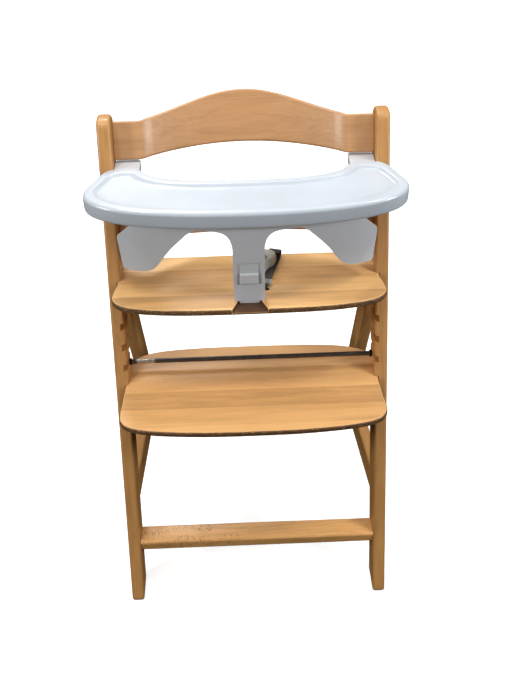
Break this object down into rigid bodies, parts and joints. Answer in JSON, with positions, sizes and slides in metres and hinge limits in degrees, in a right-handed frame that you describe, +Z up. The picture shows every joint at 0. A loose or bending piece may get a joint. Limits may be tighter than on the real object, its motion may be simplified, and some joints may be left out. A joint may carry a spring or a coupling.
{
  "type": "baby high chair",
  "caption": "Wooden high chair with slanted A-shaped side frames, a seat and foot plate in grooves, bent backrest boards, a moulded leg guard and a lift-off tray.",
  "frame": {"origin": "on the floor, at the middle of the footprint", "axes": "+Z up, the child looks towards -Y, +X to the chair's left-hand side as the child sits"},
  "size_m": [0.4984, 0.544, 0.788],
  "materials": {
    "beech": "clear satin lacquer",
    "beech_ply": "clear satin lacquer, bent and flat plies",
    "dowel_wood": "bare",
    "tray_plastic": "glossy moulded",
    "guard_plastic": "satin moulded",
    "steel": "dark drawn bar",
    "zinc": "zinc plated",
    "buckle_plastic": "satin moulded",
    "button_plastic": "satin moulded",
    "webbing": "woven strap"
  },
  "bodies": {
    "frame": {"upright_left": "beech", "rear_leg_left": "beech", "side_brace_left": "beech", "leg_dowel_upper_left": "dowel_wood", "leg_dowel_lower_left": "dowel_wood", "brace_dowel_front_left": "dowel_wood", "brace_dowel_rear_left": "dowel_wood", "tie_bar_bolt_left": "zinc", "cross_board_bolt_left": "zinc", "upper_back_bolt_low_left": "zinc", "upper_back_bolt_high_left": "zinc", "lower_back_bolt_low_left": "zinc", "lower_back_bolt_high_left": "zinc", "upright_right": "beech", "rear_leg_right": "beech", "side_brace_right": "beech", "leg_dowel_upper_right": "dowel_wood", "leg_dowel_lower_right": "dowel_wood", "brace_dowel_front_right": "dowel_wood", "brace_dowel_rear_right": "dowel_wood", "tie_bar_bolt_right": "zinc", "cross_board_bolt_right": "zinc", "upper_back_bolt_low_right": "zinc", "upper_back_bolt_high_right": "zinc", "lower_back_bolt_low_right": "zinc", "lower_back_bolt_high_right": "zinc", "tie_bar": "steel", "cross_board": "beech", "backrest_upper": "beech_ply", "backrest_lower": "beech_ply"},
    "seat": {"seat_plate": "beech_ply", "crotch_strap": "webbing", "buckle_housing": "buckle_plastic"},
    "footrest": {"foot_plate": "beech_ply"},
    "guard": {"guard": "guard_plastic"},
    "tray": {"tray": "tray_plastic"},
    "release": {"release_tongue": "guard_plastic"},
    "buckle_button": {"buckle_button": "button_plastic"},
    "strap_adjuster": {"strap_adjuster": "buckle_plastic"}
  },
  "joints": [
    {"name": "seat_slide", "type": "slide", "parent": "frame", "child": "seat", "axis": [0, -1, 0], "range_m": [0, 0.05]},
    {"name": "footrest_slide", "type": "slide", "parent": "frame", "child": "footrest", "axis": [0, -1, 0], "range_m": [0, 0.05]},
    {"name": "guard_slide", "type": "slide", "parent": "seat", "child": "guard", "axis": [0, -1, 0], "range_m": [0, 0.12]},
    {"name": "tray_lift", "type": "slide", "parent": "guard", "child": "tray", "axis": [0, 0, 1], "range_m": [0, 0.06]},
    {"name": "release_press", "type": "hinge", "parent": "guard", "child": "release", "pos_m": [0, -0.08955, 0.5785], "axis": [1, 0, 0], "range_deg": [-6, 0], "stiffness_Nm_per_rad": 0.6},
    {"name": "buckle_button_press", "type": "slide", "parent": "seat", "child": "buckle_button", "axis": [0, 0, -1], "range_m": [0, 0.0012], "stiffness_N_per_m": 500},
    {"name": "adjuster_slide", "type": "slide", "parent": "seat", "child": "strap_adjuster", "axis": [0.2955, 0.9553, 0], "range_m": [-0.0005, 0.003]}
  ]
}
